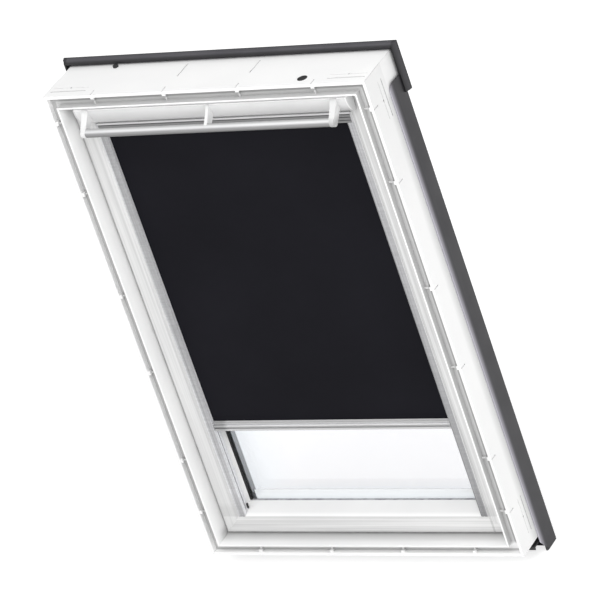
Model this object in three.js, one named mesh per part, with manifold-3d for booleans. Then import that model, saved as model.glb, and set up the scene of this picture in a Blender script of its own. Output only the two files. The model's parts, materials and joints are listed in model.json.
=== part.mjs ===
// Centre-pivot roof window with a blackout roller blind fitted on its sash.
// Lengths are millimetres. X runs to the right as seen from the room, Y runs from the room
// towards the weather and Z runs up the slope of the roof.
// Every piece is drawn from the middle of the window, in the plane of the frame's inner rim.
import * as THREE from 'three';
import { mergeVertices } from 'three/addons/utils/BufferGeometryUtils.js';
import Module from 'manifold-3d';

const wasm = await Module();
wasm.setup();

// Gaps that several pieces share
const seatGap = 0.3;
const runGap = 0.5;
const mitreGap = 0.15;
const cutOverrun = 5;

// Outer frame
const frameWidth = 780;
const frameHeight = 1178;
const frameBackRun = 19;
const flangeSetback = 5.4;
const flangeWidth = 7.3;
const grooveDepth = 11.6;
const rimInset = 28.5;
const rimWidth = 4;
const rimRound = 1.2;
const revealInset = 34;
const coverStepDepth = 78;
const sillStepDepth = 58;
const coverStepHeight = 0.8;

// Ribs across the lining groove and marks on the outer faces
const clipWidth = 8;
const clipReach = 5;
const clipDrop = 1.5;
const grooveRibWidth = 3;
const grooveRibHeight = 5;
const headRibShares = [-0.348, -0.122, 0.106, 0.337];
const runMarkShares = [-0.113, 0.113];
const slotMarkLength = 17;
const slotMarkWidth = 1.6;
const slotMarkRadius = 1.6;
const jambRibShares = [0.442, 0.293, 0.074, -0.093, -0.288, -0.404];
const markWidth = 2.8;
const markCutDepth = 1.5;
const fineMarkWidth = 1.2;
const bracketMarkLength = 88;
const headMarkDepth = 25;
const headMarkShare = 0.432;
const jambMarkDepth = 64;
const jambMarkShare = 0.438;
const pilotRadius = 2.4;
const pilotDrill = 6;
const pilotOffset = 14;
const runMarkStart = 66;
const runMarkLength = 52;

// Cable passage in the head
const cableEndOffset = 159;
const cableDepth = 31;
const cableRadius = 9;
const plugFlangeRadius = 11;
const plugFlangeThickness = 2;

// Sash
const sashSideGap = 4.5;
const sashEndGap = 5;
const sashSetback = 38;
const sashEdgeRound = 2;
const sashFaceWidth = 39;
const beadWidth = 3.5;
const beadHeight = 1.2;
const lipInset = 54;
const lipRun = 44.5;
const rebateInset = 36;

// Glazing unit
const gasketThickness = 4.9;
const gasketProud = 4.5;
const gasketSillProud = 0.6;
const paneThickness = 4;
const spacerDepth = 16;
const spacerWidth = 12;
const spacerProud = 2;
const glassEdgeGap = 2;
const outerGasketThickness = 3.4;

// Aluminium profiles that hold the glass from outside
const profileThickness = 6;
const profileInset = 1;
const profileOverlap = 52;
const profileBevel = 4;
const dripLipDrop = 66;
const dripLipThickness = 2;
const dripLipClearance = 1.5;
const lipPlateWidth = 22;

// Pivot
const pivotRun = 45;
const pinRadius = 8;
const pinFlangeRadius = 22;
const pinFlangeThickness = 3;
const pinReach = 14;
const bearingRadius = 14;
const bearingFlangeRadius = 20;
const bearingFlangeThickness = 3;
const bearingLength = 16;

// Weather seal in the gap between frame and sash
const sealRun = 3.5;
const sealLength = 6;
const sealSideThickness = 3.7;
const sealEndThickness = 3.2;

// Rubber apron under the sill
const apronLipRun = 2;
const apronFootRun = 26;
const apronBackRun = 48;
const apronDrop = 15;
const apronLipDrop = 8;
const apronThickness = 3;
const apronInset = 4;

// Outer covers
const coverSheet = 1.6;
const coverStepClearance = 2;
const sideCoverProud = 5;
const sideCoverRise = 20;
const sideCoverBackProud = 4.5;
const sideCoverTopDrop = 57;
const sideCoverDrop = 47;
const sideCoverNearDrop = 16;
const sideCoverCornerRun = 20;
const sideCoverTopRound = 18;
const sideCoverInnerGap = 1.5;
const sideCoverReturn = 2.2;
const coverPlugRun = 16;
const coverPlugWidth = 5;
const coverPlugLength = 20;
const coverPlugProud = 2;
const hoodLap = 9;
const hoodProud = 7.5;
const hoodRise = 15.5;
const hoodStep = 5.4;
const hoodFootSetback = 7.5;
const hoodLipRise = 3.8;
const hoodShoulderRise = 2.8;
const hoodShoulderRun = 6.5;
const hoodRidgeRise = 1.6;
const hoodRidgeRun = 1.2;
const hoodSheet = 2;
const hoodSideLength = 114;
const hoodScrewEndOffset = 122;
const hoodScrewClearance = 0.8;
const hoodScrewRadius = 5.8;
const hoodScrewHeight = 4.6;
const sillCoverSheet = 1.7;
const sillCoverLip = 24;
const sillCoverEndGap = 2;

// Ventilation flap and control bar
const flapReach = 1;
const flapHeight = 43;
const flapDepth = 26;
const flapClearance = 2.3;
const flapSheet = 3.5;
const flapSideGap = 20.5;
const flapCapThickness = 3;
const flapWebThickness = 2;
const flapNotchMargin = 2;
const hingeRadius = 2.2;
const hingeSetback = 5;
const hingeOffset = 190;
const hingeLength = 60;
const hingeLeafThickness = 1.4;
const hingeLeafWidth = 22;
const knuckleWall = 1.7;
const knuckleLap = 0.6;
const knuckleLength = 24;
const barRadius = 9.3;
const barStandoff = 26.5;
const barDrop = 41;
const barWall = 1.5;
const barEndGap = 55.5;
const bossThickness = 10;
const bossProud = 0.5;
const spigotLength = 14;
const bracketTopThickness = 16;
const bracketMiddleThickness = 7;

// Lock behind the flap
const latchWidth = 26;
const latchDepth = 8;
const latchStandoff = 14;
const latchReach = 3;
const latchLength = 27;
const latchHook = 3;
const latchCaseWall = 3;
const keepWidth = 44;
const keepThickness = 2;
const keepLipDrop = 5;
const keepDepth = 18;

// Blind casing and roller
const casingRun = 2;
const casingBackGap = 5.5;
const casingHeight = 24.5;
const casingDrop = 12.5;
const casingTopFall = 4.5;
const casingWall = 1.4;
const casingCapLength = 5;
const casingGrooveShares = [0.16, 0.42, 0.72];
const casingGrooveHeight = 2.4;
const casingGrooveCut = 1.6;
const clothSlotWidth = 5;
const rollRadius = 9;
const rollerRise = 11;
const tubeBore = 7.4;
const tubePlugLength = 14;
const tubeEndGap = 1;
const axleRadius = 4;
const axleCover = 1.5;

// Blind side channels
const channelWidth = 18;
const channelDepth = 22;
const channelBevelWidth = 1.6;
const channelBevelDepth = 0.8;
const channelLineOffset = 7;
const channelLineWidth = 2;
const channelLineCut = 0.6;
const channelSlotWidth = 2.4;
const channelSlotReach = 8;
const channelStopLength = 6;

// Cloth and bottom bar
const clothRun = 12;
const clothThickness = 0.8;
const clothLap = 4.5;
const clothDropShare = 0.7538;
const blindBarHeight = 21;
const blindBarRun = 1.8;
const blindBarThickness = 15.2;
const blindBarEndGap = 1.5;
const gliderLength = 14;
const gliderThickness = 1.8;
const gliderReach = 7;
const gliderHeadLength = 10;

// Small clip on the inner face of the left channel, near its lower end
const endClipThickness = 2.7;
const endClipRun = 4;
const endClipLength = 12;
const endClipRise = 2.6;

const arcSteps = 6;
const roundSteps = 24;
const weldDistance = 0.0005;

// Sizes worked out from the ones above
const halfWidth = frameWidth / 2;
const halfHeight = frameHeight / 2;
const openingHalfWidth = halfWidth - revealInset;
const openingHalfHeight = halfHeight - revealInset;
const sashHalfWidth = openingHalfWidth - sashSideGap;
const sashHalfHeight = openingHalfHeight - sashEndGap;
const lipDepth = sashSetback + lipRun;
const glassFront = lipDepth + gasketThickness + 2 * seatGap;
const glassBack = glassFront + 2 * paneThickness + spacerDepth;
const sashBack = glassBack + outerGasketThickness + 2 * seatGap;
const frameDepth = sashBack + frameBackRun;
const glassHalfWidth = sashHalfWidth - rebateInset - glassEdgeGap;
const glassHalfHeight = sashHalfHeight - rebateInset - glassEdgeGap;
const pivotDepth = sashSetback + pivotRun;
const sideCoverFront = coverStepDepth + coverStepClearance;
const sideCoverBack = frameDepth + sideCoverBackProud;
const sideCoverTop = halfHeight - sideCoverTopDrop;
const hoodFront = frameDepth - hoodLap;
const hoodBack = frameDepth + hoodProud;
const flapTop = sashHalfHeight + flapReach;
const flapBottom = flapTop - flapHeight;
const flapRear = sashSetback - beadHeight - flapClearance;
const flapFront = flapRear - flapDepth;
const knuckleRadius = hingeRadius + seatGap + knuckleWall;
const hingeDepth = flapRear - hingeSetback;
const hingeHeight = flapInnerAt(hingeDepth) + knuckleRadius - knuckleLap;
const barDepth = flapFront - barStandoff;
const barHeight = flapTop - barDrop;
const barHalfLength = sashHalfWidth - barEndGap;
const bracketOffset = barHalfLength + seatGap + bossThickness / 2;
const latchFront = sashSetback - latchStandoff;
const casingFront = sashSetback + casingRun;
const casingBack = lipDepth - casingBackGap;
const casingTop = sashHalfHeight - sashFaceWidth - casingDrop;
const casingTopRear = casingTop - casingTopFall;
const casingBottom = casingTop - casingHeight;
const channelFront = casingFront;
const channelInner = sashHalfWidth - sashFaceWidth - channelWidth;
const clothDepth = casingFront + clothRun;
const clothHalfWidth = channelInner + clothLap;
const clothLowest = channelBottomAt(clothDepth);
const blindBarTop = casingBottom - clothDropShare * (casingBottom - clothLowest);
const blindBarFront = casingFront + blindBarRun;
const blindBarBack = blindBarFront + blindBarThickness;
const rollerHeight = casingBottom + rollerRise;
const rollerDepth = clothDepth + clothThickness / 2 + seatGap + rollRadius;
const axleEnd = casingReachAt(rollerDepth + axleRadius) - axleCover;
const tubeHalfLength = casingReachAt(rollerDepth + rollRadius) - casingCapLength - seatGap - tubeEndGap;

// Finishes
const white = finish(0xf4f4f3, 0.42, 0);
const shadedWhite = finish(0xe9e9ea, 0.45, 0);
const grey = finish(0x4b4b50, 0.5, 0.35);
const silver = finish(0xb9babd, 0.35, 0.8);
const steel = finish(0x9a9b9f, 0.35, 0.9);
const black = finish(0x141416, 0.7, 0);
const navyCloth = finish(0x1d1d22, 0.9, 0);
const glass = finish(0xe8eef4, 0.05, 0);
const greyPlastic = finish(0xc9cacc, 0.5, 0);

function finish(color, roughness, metalness) {
  return new THREE.MeshStandardMaterial({ color, roughness, metalness });
}

// Solid modelling helpers

function toSolid(geometry) {
  const bare = geometry.clone();
  bare.deleteAttribute('normal');
  bare.deleteAttribute('uv');
  const merged = mergeVertices(bare, weldDistance);
  const vertProperties = new Float32Array(merged.attributes.position.array);
  const triVerts = new Uint32Array(merged.index.array);
  return new wasm.Manifold(new wasm.Mesh({ numProp: 3, vertProperties, triVerts }));
}

function toGeometry(solid) {
  const mesh = solid.getMesh();
  const geometry = new THREE.BufferGeometry();
  geometry.setAttribute('position', new THREE.BufferAttribute(mesh.vertProperties, 3));
  geometry.setIndex(new THREE.BufferAttribute(mesh.triVerts, 1));
  geometry.computeVertexNormals();
  return geometry;
}

function cut(body, tools) {
  const start = toSolid(body);
  return toGeometry(tools.reduce((solid, tool) => solid.subtract(toSolid(tool)), start));
}

function join(body, others) {
  const start = toSolid(body);
  return toGeometry(others.reduce((solid, other) => solid.add(toSolid(other)), start));
}

function common(body, other) {
  return toGeometry(toSolid(body).intersect(toSolid(other)));
}

function outlineShape(points) {
  const shape = new THREE.Shape();
  shape.moveTo(points[0][0], points[0][1]);
  points.slice(1).forEach(([a, b]) => shape.lineTo(a, b));
  shape.closePath();
  return shape;
}

function extrude(shape, length) {
  return new THREE.ExtrudeGeometry(shape, {
    depth: length,
    bevelEnabled: false,
    curveSegments: arcSteps,
  });
}

// An outline in (y, z) that runs along X, centred on it
function barAlongX(points, length) {
  const geometry = extrude(outlineShape(points), length);
  geometry.translate(0, 0, -length / 2);
  const toY = new THREE.Vector3(0, 1, 0);
  const toZ = new THREE.Vector3(0, 0, 1);
  const toX = new THREE.Vector3(1, 0, 0);
  geometry.applyMatrix4(new THREE.Matrix4().makeBasis(toY, toZ, toX));
  return geometry;
}

// An outline in (x, y) that runs along Z between two heights
function barAlongZ(points, bottom, top) {
  const geometry = extrude(outlineShape(points), top - bottom);
  geometry.translate(0, 0, bottom);
  return geometry;
}

// A shape in (x, z) that is as thick as stated along Y, from y = 0
function slabAlongY(shape, thickness) {
  const geometry = extrude(shape, thickness);
  geometry.rotateX(Math.PI / 2);
  geometry.translate(0, thickness, 0);
  return geometry;
}

function boxBetween(low, high) {
  const sizes = high.map((value, axis) => value - low[axis]);
  const middle = high.map((value, axis) => (value + low[axis]) / 2);
  const geometry = new THREE.BoxGeometry(...sizes);
  geometry.translate(...middle);
  return geometry;
}

// A cylinder along X that starts at x and is as long as stated
function rodAlongX(radius, x, length, depth, height) {
  const geometry = new THREE.CylinderGeometry(radius, radius, length, roundSteps);
  geometry.rotateZ(Math.PI / 2);
  geometry.translate(x + length / 2, depth, height);
  return geometry;
}

function rectangleShape(halfX, halfZ) {
  return outlineShape([
    [-halfX, -halfZ],
    [halfX, -halfZ],
    [halfX, halfZ],
    [-halfX, halfZ],
  ]);
}

// A rectangular ring, such as a gasket, with its own band width on the sides, the top and the bottom
function ringShape(halfX, halfZ, sideBand, topBand, bottomBand) {
  const shape = rectangleShape(halfX, halfZ);
  const innerX = halfX - sideBand;
  shape.holes.push(outlineShape([
    [-innerX, bottomBand - halfZ],
    [innerX, bottomBand - halfZ],
    [innerX, halfZ - topBand],
    [-innerX, halfZ - topBand],
  ]));
  return shape;
}

// A frame member with ends mitred at 45 degrees. Its outline is drawn in (inset, depth), where
// inset is counted inwards from the outer edge. The member runs along its own Z.
function mitredMember(points, halfLength) {
  const geometry = extrude(outlineShape(points), 1);
  const place = geometry.attributes.position;
  for (let i = 0; i < place.count; i += 1) {
    const end = place.getZ(i) > 0 ? 1 : -1;
    place.setZ(i, end * (halfLength - mitreGap - place.getX(i)));
  }
  return geometry;
}

// Where the four members of a rectangular frame go, and which way their own Z then points
function memberPlaces(halfX, halfZ) {
  return {
    left: { position: [-halfX, 0, 0], turn: 0, halfLength: halfZ },
    bottom: { position: [0, 0, -halfZ], turn: -Math.PI / 2, halfLength: halfX },
    right: { position: [halfX, 0, 0], turn: Math.PI, halfLength: halfZ },
    top: { position: [0, 0, halfZ], turn: Math.PI / 2, halfLength: halfX },
  };
}

function addMesh(parent, name, geometry, material) {
  const mesh = new THREE.Mesh(geometry, material);
  mesh.name = name;
  parent.add(mesh);
  return mesh;
}

function addMember(parent, name, geometry, material, place) {
  const mesh = addMesh(parent, name, geometry, material);
  mesh.position.set(...place.position);
  mesh.rotation.y = place.turn;
  return mesh;
}

function mirrored(points) {
  return points.map(([a, b]) => [-a, b]);
}

const roofWindow = new THREE.Group();
const frameGroup = new THREE.Group();
const sashGroup = new THREE.Group();
const flapGroup = new THREE.Group();
const blindGroup = new THREE.Group();
const rollerGroup = new THREE.Group();
roofWindow.add(frameGroup, sashGroup);
sashGroup.add(flapGroup, blindGroup, rollerGroup);

// Outer frame: four mitred members with one outline

function frameOutline(stepDepth) {
  const rimOuter = rimInset - rimWidth / 2;
  const rimInner = rimInset + rimWidth / 2;
  const grooveFloor = flangeSetback + grooveDepth;
  return [
    [0, flangeSetback],
    [flangeWidth, flangeSetback],
    [flangeWidth, grooveFloor],
    [rimOuter, grooveFloor],
    [rimOuter, rimRound],
    [rimOuter + rimRound, 0],
    [rimInner - rimRound, 0],
    [rimInner, rimRound],
    [revealInset, sashSetback],
    [revealInset, frameDepth],
    [coverStepHeight, frameDepth],
    [coverStepHeight, stepDepth],
    [0, stepDepth],
  ];
}

// Across the groove: a block behind the flange with a lower rib that runs on to the rim
function grooveRibs(alongPlaces) {
  const floor = flangeSetback + grooveDepth;
  const inner = rimInset - rimWidth / 2;
  return alongPlaces.flatMap((along) => [
    boxBetween(
      [flangeWidth - seatGap, flangeSetback + clipDrop, along - clipWidth / 2],
      [flangeWidth + clipReach, floor + seatGap, along + clipWidth / 2],
    ),
    boxBetween(
      [flangeWidth - seatGap, floor - grooveRibHeight, along - grooveRibWidth / 2],
      [inner + seatGap, floor + seatGap, along + grooveRibWidth / 2],
    ),
  ]);
}

// Beside each rib a fine slot runs back from the flange over the outer face to a small hole
function slotMarks(alongPlaces) {
  const slotEnd = flangeSetback + slotMarkLength;
  return alongPlaces.flatMap((along) => [
    boxBetween(
      [-cutOverrun, flangeSetback - cutOverrun, along - slotMarkWidth / 2],
      [markCutDepth, slotEnd, along + slotMarkWidth / 2],
    ),
    rodAlongX(slotMarkRadius, -cutOverrun, cutOverrun + 2 * markCutDepth, slotEnd, along),
  ]);
}

// Two shallow marks along the member, with a pilot hole in the middle of the finer one
function bracketMark(along, depth, pilotSide) {
  const mark = boxBetween(
    [-cutOverrun, depth - markWidth / 2, along - bracketMarkLength / 2],
    [markCutDepth, depth + markWidth / 2, along + bracketMarkLength / 2],
  );
  const fineDepth = depth + pilotSide;
  const fineMark = boxBetween(
    [-cutOverrun, fineDepth - fineMarkWidth / 2, along - bracketMarkLength / 2],
    [markCutDepth / 2, fineDepth + fineMarkWidth / 2, along + bracketMarkLength / 2],
  );
  const pilot = rodAlongX(pilotRadius, -cutOverrun, cutOverrun + pilotDrill, depth + pilotSide, along);
  return [mark, fineMark, pilot];
}

function buildFrameMembers() {
  const places = memberPlaces(halfWidth, halfHeight);
  const upright = mitredMember(frameOutline(coverStepDepth), halfHeight);
  const headBar = mitredMember(frameOutline(coverStepDepth), halfWidth);
  const sillBar = mitredMember(frameOutline(sillStepDepth), halfWidth);

  [['left', 1], ['right', -1]].forEach(([side, up]) => {
    const ribPlaces = jambRibShares.map((share) => up * share * frameHeight);
    const ribs = grooveRibs(ribPlaces);
    const upperMark = bracketMark(up * jambMarkShare * frameHeight, jambMarkDepth, -pilotOffset);
    const lowerMark = bracketMark(-up * jambMarkShare * frameHeight, jambMarkDepth, -pilotOffset);
    const inset = revealInset;
    const flangeSeat = rodAlongX(
      bearingFlangeRadius + seatGap,
      inset - bearingFlangeThickness - seatGap,
      cutOverrun + bearingFlangeThickness,
      pivotDepth,
      0,
    );
    const bearingHole = rodAlongX(
      bearingRadius + seatGap,
      inset - bearingLength - seatGap,
      cutOverrun + bearingLength,
      pivotDepth,
      0,
    );
    const bracketMarks = [...upperMark, ...lowerMark];
    const seats = [flangeSeat, bearingHole];
    const body = cut(join(upright, ribs), [...slotMarks(ribPlaces), ...bracketMarks, ...seats]);
    addMember(frameGroup, `frame_jamb_${side}`, body, white, places[side]);
  });

  const ribPlaces = headRibShares.map((share) => share * frameWidth);
  const ribs = grooveRibs(ribPlaces);
  const marks = [-headMarkShare, headMarkShare].flatMap(
    (share) => bracketMark(share * frameWidth, headMarkDepth, pilotOffset),
  );
  const runMarks = runMarkShares.map((share) => boxBetween(
    [-cutOverrun, runMarkStart, share * frameWidth - markWidth / 2],
    [markCutDepth + coverStepHeight, runMarkStart + runMarkLength, share * frameWidth + markWidth / 2],
  ));
  const cableOffset = halfWidth - cableEndOffset;
  const cableHole = rodAlongX(cableRadius, -cutOverrun, revealInset + 2 * cutOverrun, cableDepth, cableOffset);
  const plugSeat = rodAlongX(
    plugFlangeRadius + seatGap,
    -cutOverrun,
    cutOverrun + plugFlangeThickness + 2 * seatGap,
    cableDepth,
    cableOffset,
  );
  const slots = slotMarks(ribPlaces);
  const head = cut(join(headBar, ribs), [...slots, ...marks, ...runMarks, cableHole, plugSeat]);
  addMember(frameGroup, 'frame_head', head, white, places.top);
  const sill = cut(join(sillBar, ribs), [...slots, ...marks]);
  addMember(frameGroup, 'frame_sill', sill, white, places.bottom);
}

// Rubber plug that closes the cable passage, flush with the top face
function buildCablePlug() {
  const flange = new THREE.CylinderGeometry(
    plugFlangeRadius,
    plugFlangeRadius,
    plugFlangeThickness,
    roundSteps,
  );
  flange.translate(0, -plugFlangeThickness / 2, 0);
  const stemRadius = cableRadius - seatGap;
  const stemLength = revealInset / 2;
  const stem = new THREE.CylinderGeometry(stemRadius, stemRadius, stemLength, roundSteps);
  stem.translate(0, -stemLength / 2, 0);
  const plug = addMesh(frameGroup, 'cable_plug', join(flange, [stem]), black);
  plug.rotation.x = Math.PI / 2;
  plug.position.set(halfWidth - cableEndOffset, cableDepth, halfHeight - seatGap);
}

// Pivot: a flanged pin on each stile turns in a flanged bearing in each jamb

function buildPivots() {
  const bearingPoints = [
    [pinRadius + seatGap, 0],
    [bearingFlangeRadius, 0],
    [bearingFlangeRadius, bearingFlangeThickness],
    [bearingRadius, bearingFlangeThickness],
    [bearingRadius, bearingLength],
    [pinRadius + seatGap, bearingLength],
    [pinRadius + seatGap, 0],
  ];
  const pinPoints = [
    [0, 0],
    [pinFlangeRadius, 0],
    [pinFlangeRadius, pinFlangeThickness],
    [pinRadius, pinFlangeThickness],
    [pinRadius, pinFlangeThickness + sashSideGap + pinReach],
    [0, pinFlangeThickness + sashSideGap + pinReach],
  ];
  const asVectors = (points) => points.map(([r, y]) => new THREE.Vector2(r, y));
  const bearing = new THREE.LatheGeometry(asVectors(bearingPoints), roundSteps);
  const pin = new THREE.LatheGeometry(asVectors(pinPoints), roundSteps);
  [['left', 1], ['right', -1]].forEach(([side, towardsJamb]) => {
    const bearingMesh = addMesh(frameGroup, `pivot_bearing_${side}`, bearing, steel);
    bearingMesh.rotation.z = towardsJamb * Math.PI / 2;
    bearingMesh.position.set(-towardsJamb * openingHalfWidth, pivotDepth, 0);
    const pinMesh = addMesh(sashGroup, `pivot_pin_${side}`, pin, steel);
    pinMesh.rotation.z = towardsJamb * Math.PI / 2;
    pinMesh.position.set(-towardsJamb * (sashHalfWidth - pinFlangeThickness), pivotDepth, 0);
  });
}

function buildWeatherSeal() {
  const shape = ringShape(
    openingHalfWidth - seatGap,
    openingHalfHeight - seatGap,
    sealSideThickness,
    sealEndThickness,
    sealEndThickness,
  );
  const seal = addMesh(frameGroup, 'weather_seal', slabAlongY(shape, sealLength), black);
  seal.position.y = sashSetback + sealRun;
}

function buildSillApron() {
  const apronLipDepth = sillStepDepth + apronLipRun;
  const apronFootDepth = sillStepDepth + apronFootRun;
  const apronBack = sillStepDepth + apronBackRun;
  const leg = apronBack - apronThickness;
  const lip = apronLipDepth + apronThickness;
  const points = [
    [apronFootDepth, 0],
    [apronFootDepth, -apronThickness],
    [leg, -apronThickness],
    [leg, -apronDrop],
    [apronLipDepth, -apronDrop],
    [apronLipDepth, -apronDrop - apronLipDrop],
    [lip, -apronDrop - apronLipDrop],
    [lip, -apronDrop - apronThickness],
    [apronBack, -apronDrop - apronThickness],
    [apronBack, 0],
  ];
  const length = frameWidth - 2 * apronInset;
  const apron = addMesh(frameGroup, 'sill_apron_seal', barAlongX(points, length), black);
  apron.position.z = -halfHeight + coverStepHeight - seatGap;
}

// Outer covers

function sideCoverOutline() {
  const near = halfWidth - coverStepHeight + seatGap;
  const outer = halfWidth + sideCoverProud;
  const innerEdge = openingHalfWidth - sashSideGap + sideCoverInnerGap;
  const backPlate = sideCoverBack - coverSheet;
  return [
    [near, sideCoverFront],
    [near + coverSheet, sideCoverFront],
    [outer, sideCoverFront + sideCoverRise],
    [outer, sideCoverBack - coverSheet],
    [outer - coverSheet, sideCoverBack],
    [innerEdge, sideCoverBack],
    [innerEdge, sideCoverBack - sideCoverReturn],
    [innerEdge + coverSheet, sideCoverBack - sideCoverReturn],
    [innerEdge + coverSheet, backPlate],
    [outer - coverSheet, backPlate],
    [outer - coverSheet, sideCoverFront + sideCoverRise],
  ];
}

// The cover seen from the side: rounded at the top of its near edge, cut back at its foot
function sideCoverSide() {
  const foot = -halfHeight - sideCoverDrop;
  const nearFoot = -halfHeight - sideCoverNearDrop;
  const round = sideCoverTopRound;
  const shape = new THREE.Shape();
  shape.moveTo(sideCoverBack + cutOverrun, foot);
  shape.lineTo(sideCoverBack + cutOverrun, sideCoverTop);
  shape.lineTo(sideCoverFront + round, sideCoverTop);
  shape.absarc(sideCoverFront + round, sideCoverTop - round, round, Math.PI / 2, Math.PI, false);
  shape.lineTo(sideCoverFront, nearFoot);
  shape.lineTo(sideCoverFront + sideCoverCornerRun, foot);
  shape.closePath();
  return shape;
}

function buildSideCovers() {
  const foot = -halfHeight - sideCoverDrop;
  const sideShape = sideCoverSide();
  const mask = extrude(sideShape, frameWidth + 2 * hoodRise);
  mask.translate(0, 0, -halfWidth - hoodRise);
  const toY = new THREE.Vector3(0, 1, 0);
  const toZ = new THREE.Vector3(0, 0, 1);
  const toX = new THREE.Vector3(1, 0, 0);
  mask.applyMatrix4(new THREE.Matrix4().makeBasis(toY, toZ, toX));
  const right = common(barAlongZ(sideCoverOutline(), foot, sideCoverTop), mask);
  const left = common(barAlongZ(mirrored(sideCoverOutline()), foot, sideCoverTop), mask);
  addMesh(frameGroup, 'side_cover_right', right, grey);
  addMesh(frameGroup, 'side_cover_left', left, grey);
}

// Plugs that close the lower ends of the side covers
function buildCoverPlugs() {
  const wall = halfWidth + sideCoverProud - coverSheet - seatGap;
  const inner = wall - coverPlugWidth;
  const rampEnd = sideCoverFront + sideCoverRise;
  const back = sideCoverBack - coverSheet - seatGap;
  const coverPlugFront = sideCoverFront + coverPlugRun;
  const points = [
    [inner, coverPlugFront],
    [wall - coverSheet / 2, coverPlugFront],
    [wall, rampEnd],
    [wall, back],
    [inner, back],
  ];
  const bottom = -halfHeight - sideCoverDrop - coverPlugProud;
  const top = bottom + coverPlugLength;
  addMesh(frameGroup, 'side_cover_plug_right', barAlongZ(points, bottom, top), black);
  addMesh(frameGroup, 'side_cover_plug_left', barAlongZ(mirrored(points), bottom, top), black);
}

// The hood's outer surface, drawn in (outset from the frame's face, depth)
function hoodSurface() {
  const shoulder = hoodStep + hoodLipRise + hoodShoulderRise;
  const shoulderDepth = hoodFront + hoodShoulderRun;
  return [
    [hoodStep + hoodLipRise, hoodFront],
    [shoulder, shoulderDepth],
    [shoulder + hoodRidgeRise, shoulderDepth + hoodRidgeRun],
    [hoodRise, hoodBack],
  ];
}

// The same surface runs over the top and down both sides and meets in mitred corners
function buildHood() {
  const edge = halfHeight + hoodRise - hoodSideLength;
  const surface = hoodSurface();
  const fromSide = [
    [hoodFront, edge],
    ...surface.map(([outset, depth]) => [depth, halfHeight + outset]),
    [hoodBack, edge],
  ];
  const rightEdge = surface.map(([outset, depth]) => [halfWidth + outset, depth]);
  const fromTop = [...rightEdge, ...mirrored(rightEdge).reverse()];
  const reach = hoodRise + cutOverrun;
  const block = common(
    barAlongX(fromSide, frameWidth + 2 * reach),
    barAlongZ(fromTop, edge - cutOverrun, halfHeight + reach),
  );
  const hollow = boxBetween(
    [-halfWidth - hoodStep, hoodFront - cutOverrun, edge - cutOverrun],
    [halfWidth + hoodStep, hoodBack - hoodSheet, halfHeight + hoodStep],
  );
  const foot = boxBetween(
    [hoodSheet - halfWidth, hoodFront + hoodFootSetback, halfHeight - coverStepHeight + seatGap],
    [halfWidth - hoodSheet, hoodBack, halfHeight + hoodStep + seatGap],
  );
  addMesh(frameGroup, 'head_cover', join(cut(block, [hollow]), [foot]), grey);

  const screw = new THREE.CylinderGeometry(hoodScrewRadius, hoodScrewRadius, hoodScrewHeight, roundSteps);
  const screwMesh = addMesh(frameGroup, 'head_cover_screw', screw, black);
  screwMesh.rotation.x = Math.PI / 2;
  const screwBase = halfHeight - coverStepHeight + seatGap;
  screwMesh.position.set(
    hoodScrewEndOffset - halfWidth,
    hoodFront - hoodScrewClearance - hoodScrewRadius,
    screwBase + hoodScrewHeight / 2,
  );
}

function buildSillCover() {
  const top = -openingHalfHeight - seatGap;
  const bottom = -halfHeight - sideCoverDrop;
  const back = frameDepth + seatGap;
  const points = [
    [back, top],
    [back + sillCoverSheet, top],
    [back + sillCoverSheet, bottom],
    [back - sillCoverLip, bottom],
    [back - sillCoverLip, bottom + sillCoverSheet],
    [back, bottom + sillCoverSheet],
  ];
  const length = 2 * (halfWidth - coverStepHeight - sillCoverEndGap);
  addMesh(frameGroup, 'sill_cover', barAlongX(points, length), grey);
}

// Sash: four mitred members with one outline

function revealInsetAt(depth) {
  const share = (depth - sashSetback) / (lipDepth - sashSetback);
  return sashFaceWidth + share * (lipInset - sashFaceWidth);
}

function sashOutline() {
  const beadSlope = (beadWidth - beadHeight) / 2;
  return [
    [0, sashSetback + sashEdgeRound],
    [sashEdgeRound, sashSetback],
    [sashFaceWidth - beadWidth, sashSetback],
    [sashFaceWidth - beadWidth + beadSlope, sashSetback - beadHeight],
    [sashFaceWidth - beadSlope, sashSetback - beadHeight],
    [sashFaceWidth, sashSetback],
    [lipInset, lipDepth],
    [rebateInset, lipDepth],
    [rebateInset, sashBack],
    [0, sashBack],
  ];
}

function buildSashMembers() {
  const places = memberPlaces(sashHalfWidth, sashHalfHeight);
  const upright = mitredMember(sashOutline(), sashHalfHeight);
  const across = mitredMember(sashOutline(), sashHalfWidth);
  const pinSeat = rodAlongX(
    pinFlangeRadius + seatGap,
    -cutOverrun,
    cutOverrun + pinFlangeThickness + seatGap,
    pivotDepth,
    0,
  );
  addMember(sashGroup, 'sash_stile_left', cut(upright, [pinSeat]), white, places.left);
  addMember(sashGroup, 'sash_stile_right', cut(upright, [pinSeat]), white, places.right);
  addMember(sashGroup, 'sash_top_rail', across, white, places.top);
  addMember(sashGroup, 'sash_bottom_rail', across, white, places.bottom);
}

// Sealed double glazing with its gaskets

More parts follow.
